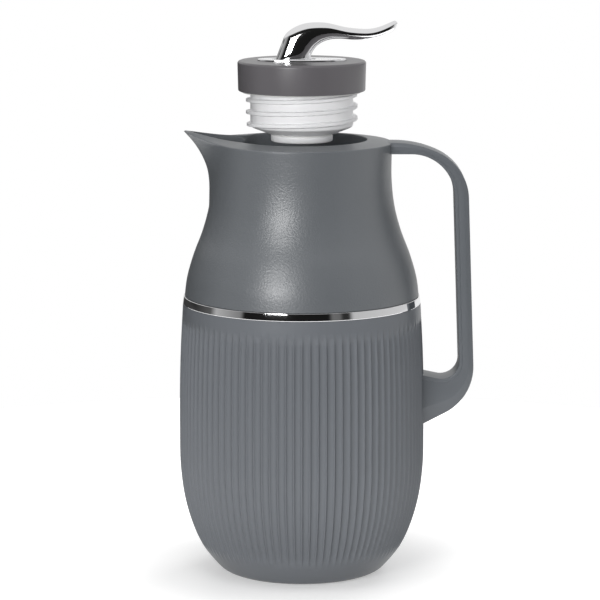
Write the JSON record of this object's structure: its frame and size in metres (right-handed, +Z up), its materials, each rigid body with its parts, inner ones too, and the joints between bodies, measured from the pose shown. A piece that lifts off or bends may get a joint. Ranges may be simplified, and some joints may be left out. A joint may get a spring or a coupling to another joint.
{
  "type": "vacuum jug",
  "caption": "Glass-lined vacuum jug with a fluted round casing, a spout, a loop handle and a screw stopper worked by a chrome thumb lever, shown with the stopper lifted.",
  "frame": {"origin": "on the jug's axis, at the face it stands on", "axes": "+Z up along the jug's axis, -X towards the spout, +X towards the handle"},
  "size_m": [0.1681, 0.1402, 0.3155],
  "materials": {
    "casing_grey": "satin",
    "cap_grey": "satin",
    "white_plastic": "semi-gloss",
    "white_seal": "matt silicone",
    "silvered_glass": "silvered on the vacuum side",
    "liner_pads": "matt",
    "liner_rubber": "matt",
    "chrome_trim": "polished plating",
    "chrome_lever": "polished plating",
    "steel": "plain"
  },
  "bodies": {
    "jug": {"lower_casing": "casing_grey", "base_cover": "casing_grey", "glass_liner": "silvered_glass", "liner_spacers": "liner_pads", "liner_cushion": "liner_rubber", "neck_gasket": "white_seal", "neck_collar": "white_plastic", "shoulder_casing": "casing_grey", "trim_band": "chrome_trim", "handle_shell": "casing_grey", "handle_cover": "casing_grey", "handle_screws": "steel"},
    "seal": {"stopper_seal": "white_seal"},
    "stopper": {"threaded_plug": "white_plastic", "plug_plate": "white_plastic", "stem_seal": "white_seal", "stopper_cap": "cap_grey", "escutcheon": "chrome_trim", "cap_screws": "steel", "lever_pin": "steel", "return_spring": "steel"},
    "lever": {"thumb_lever": "chrome_lever"},
    "valve": {"valve_stem": "steel", "stem_button": "white_plastic", "valve_disc": "white_plastic", "valve_gasket": "white_seal"}
  },
  "joints": [
    {"name": "stopper_lift", "type": "slide", "parent": "jug", "child": "seal", "axis": [0, 0, 1], "range_m": [-0.0408, 0]},
    {"name": "stopper_turn", "type": "hinge", "parent": "seal", "child": "stopper", "pos_m": [0, 0, 0.276], "axis": [0, 0, 1], "range_deg": [-2161, 0]},
    {"name": "lever_press", "type": "hinge", "parent": "stopper", "child": "lever", "pos_m": [-0.012, 0, 0.2885], "axis": [0, 1, 0], "range_deg": [0, 10]},
    {"name": "valve_stroke", "type": "slide", "parent": "stopper", "child": "valve", "axis": [0, 0, 1], "range_m": [-0.00211, 0], "stiffness_N_per_m": 1100, "springref_m": 0.003, "deforming": ["return_spring"]}
  ],
  "couplings": [
    {"joint": "stopper_turn", "follows": "stopper_lift", "rad_per_m": 924},
    {"joint": "lever_press", "follows": "valve_stroke", "rad_per_m": -82.645}
  ]
}
